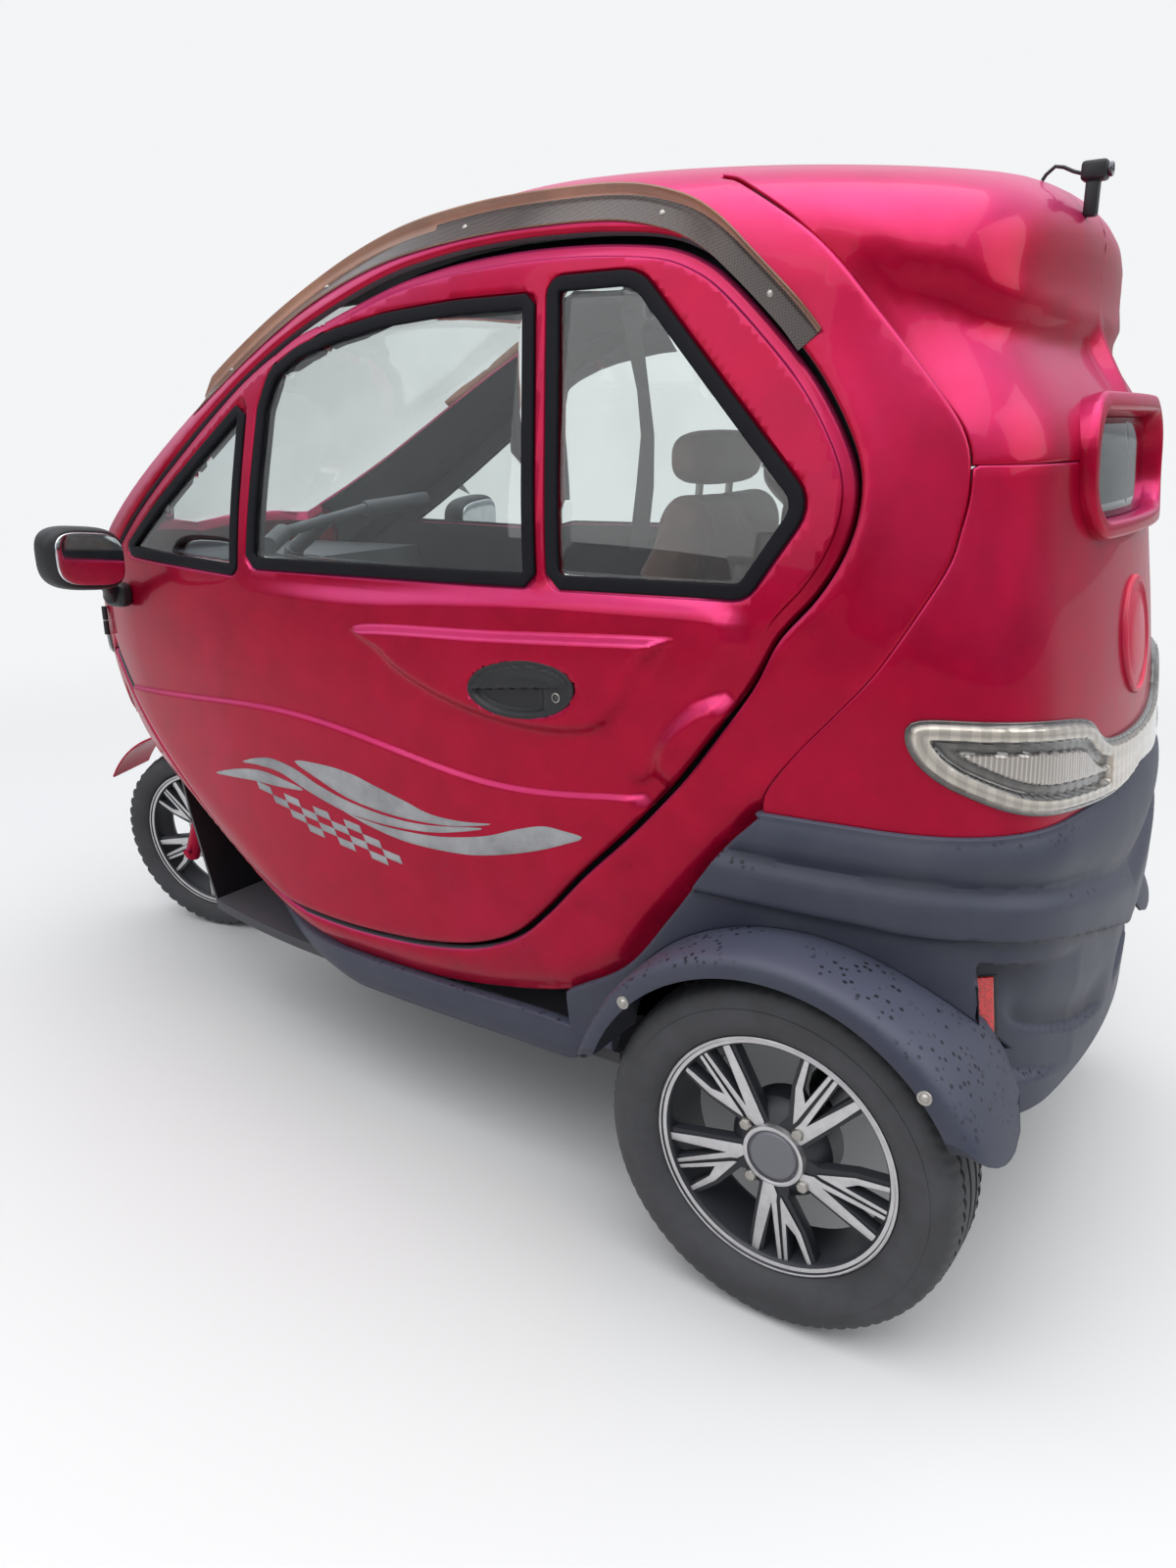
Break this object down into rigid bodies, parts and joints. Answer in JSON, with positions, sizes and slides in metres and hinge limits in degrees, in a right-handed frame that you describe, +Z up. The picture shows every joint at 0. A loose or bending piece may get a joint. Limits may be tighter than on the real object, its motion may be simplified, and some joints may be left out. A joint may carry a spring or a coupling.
{
  "type": "enclosed mobility scooter",
  "caption": "Three-wheeled enclosed electric mobility scooter with a rounded roofed cabin, hinged side doors, a steered front wheel, rear mudguards and a single seat.",
  "frame": {"origin": "on the ground below the middle of the whole vehicle", "axes": "+X forward, +Y to the vehicle's left, +Z up"},
  "size_m": [2.2364, 1.19, 1.5048],
  "materials": {
    "paint": "metallic crimson, faded in places",
    "dark_plastic": "satin blue-grey",
    "black_plastic": "satin black, dusty",
    "cabin_plastic": "grained grey",
    "clear_glass": "clear",
    "lamp_clear": "clear",
    "reflector_red": "prismatic red",
    "visor_plastic": "tinted brown, see-through",
    "frame_steel": "black paint, dusty",
    "alloy": "machined lip with grey paint",
    "tyre": "dusty rubber",
    "seat_leather": "brown, satin"
  },
  "bodies": {
    "chassis": {"cabin_shell": "paint", "tail_shell_upper": "paint", "tail_shell_lower": "paint", "rear_window_surround": "paint", "nose_shell": "dark_plastic", "rear_bumper": "dark_plastic", "sills": "dark_plastic", "windscreen": "clear_glass", "rear_window": "clear_glass", "chassis_frame": "frame_steel", "floor_pan": "cabin_plastic", "rear_axle": "frame_steel", "rear_springs": "frame_steel", "battery": "black_plastic", "wheel_well_liner": "dark_plastic", "dashboard": "cabin_plastic", "seat_base": "cabin_plastic", "seat_cushion": "seat_leather", "seat_back": "seat_leather", "headrest": "seat_leather", "tail_lamps": "lamp_clear", "rear_reflectors": "reflector_red", "headlamps": "lamp_clear", "tail_disc": "alloy", "rear_mudguards": "black_plastic", "rain_visors": "visor_plastic", "roof_camera": "black_plastic", "wiper": "black_plastic"},
    "steering": {"steering_fork": "frame_steel", "front_mudguard": "paint", "handlebar": "black_plastic"},
    "front_wheel": {"front_rim": "alloy", "front_tyre": "tyre"},
    "rear_wheel_left": {"rear_rim_left": "alloy", "rear_tyre_left": "tyre"},
    "rear_wheel_right": {"rear_rim_right": "alloy", "rear_tyre_right": "tyre"},
    "door_left_body": {"door_left": "paint", "door_glass_left": "clear_glass", "mirror_left": "black_plastic", "door_handle_left": "black_plastic"},
    "door_right_body": {"door_right": "paint", "door_glass_right": "clear_glass", "mirror_right": "black_plastic", "door_handle_right": "black_plastic"}
  },
  "joints": [
    {"name": "steering_turn", "type": "hinge", "parent": "chassis", "child": "steering", "pos_m": [0.67606, 0, 0.6], "axis": [-0.4067, 0, 0.9135], "range_deg": [-48, 22]},
    {"name": "front_wheel_spin", "type": "hinge", "parent": "steering", "child": "front_wheel", "pos_m": [0.88036, 0.00805, 0.22688], "axis": [-0.2055, 0.9744, -0.0915], "continuous": true},
    {"name": "rear_wheel_left_spin", "type": "hinge", "parent": "chassis", "child": "rear_wheel_left", "pos_m": [-0.8188, 0.435, 0.247], "axis": [0, 1, 0], "continuous": true},
    {"name": "rear_wheel_right_spin", "type": "hinge", "parent": "chassis", "child": "rear_wheel_right", "pos_m": [-0.8188, -0.435, 0.247], "axis": [0, 1, 0], "continuous": true},
    {"name": "door_left_open", "type": "hinge", "parent": "chassis", "child": "door_left_body", "pos_m": [0.7472, 0.31799, 0.8], "axis": [0, 0, -1], "range_deg": [0, 60]},
    {"name": "door_right_open", "type": "hinge", "parent": "chassis", "child": "door_right_body", "pos_m": [0.7472, -0.31799, 0.8], "axis": [0, 0, 1], "range_deg": [0, 60]}
  ]
}
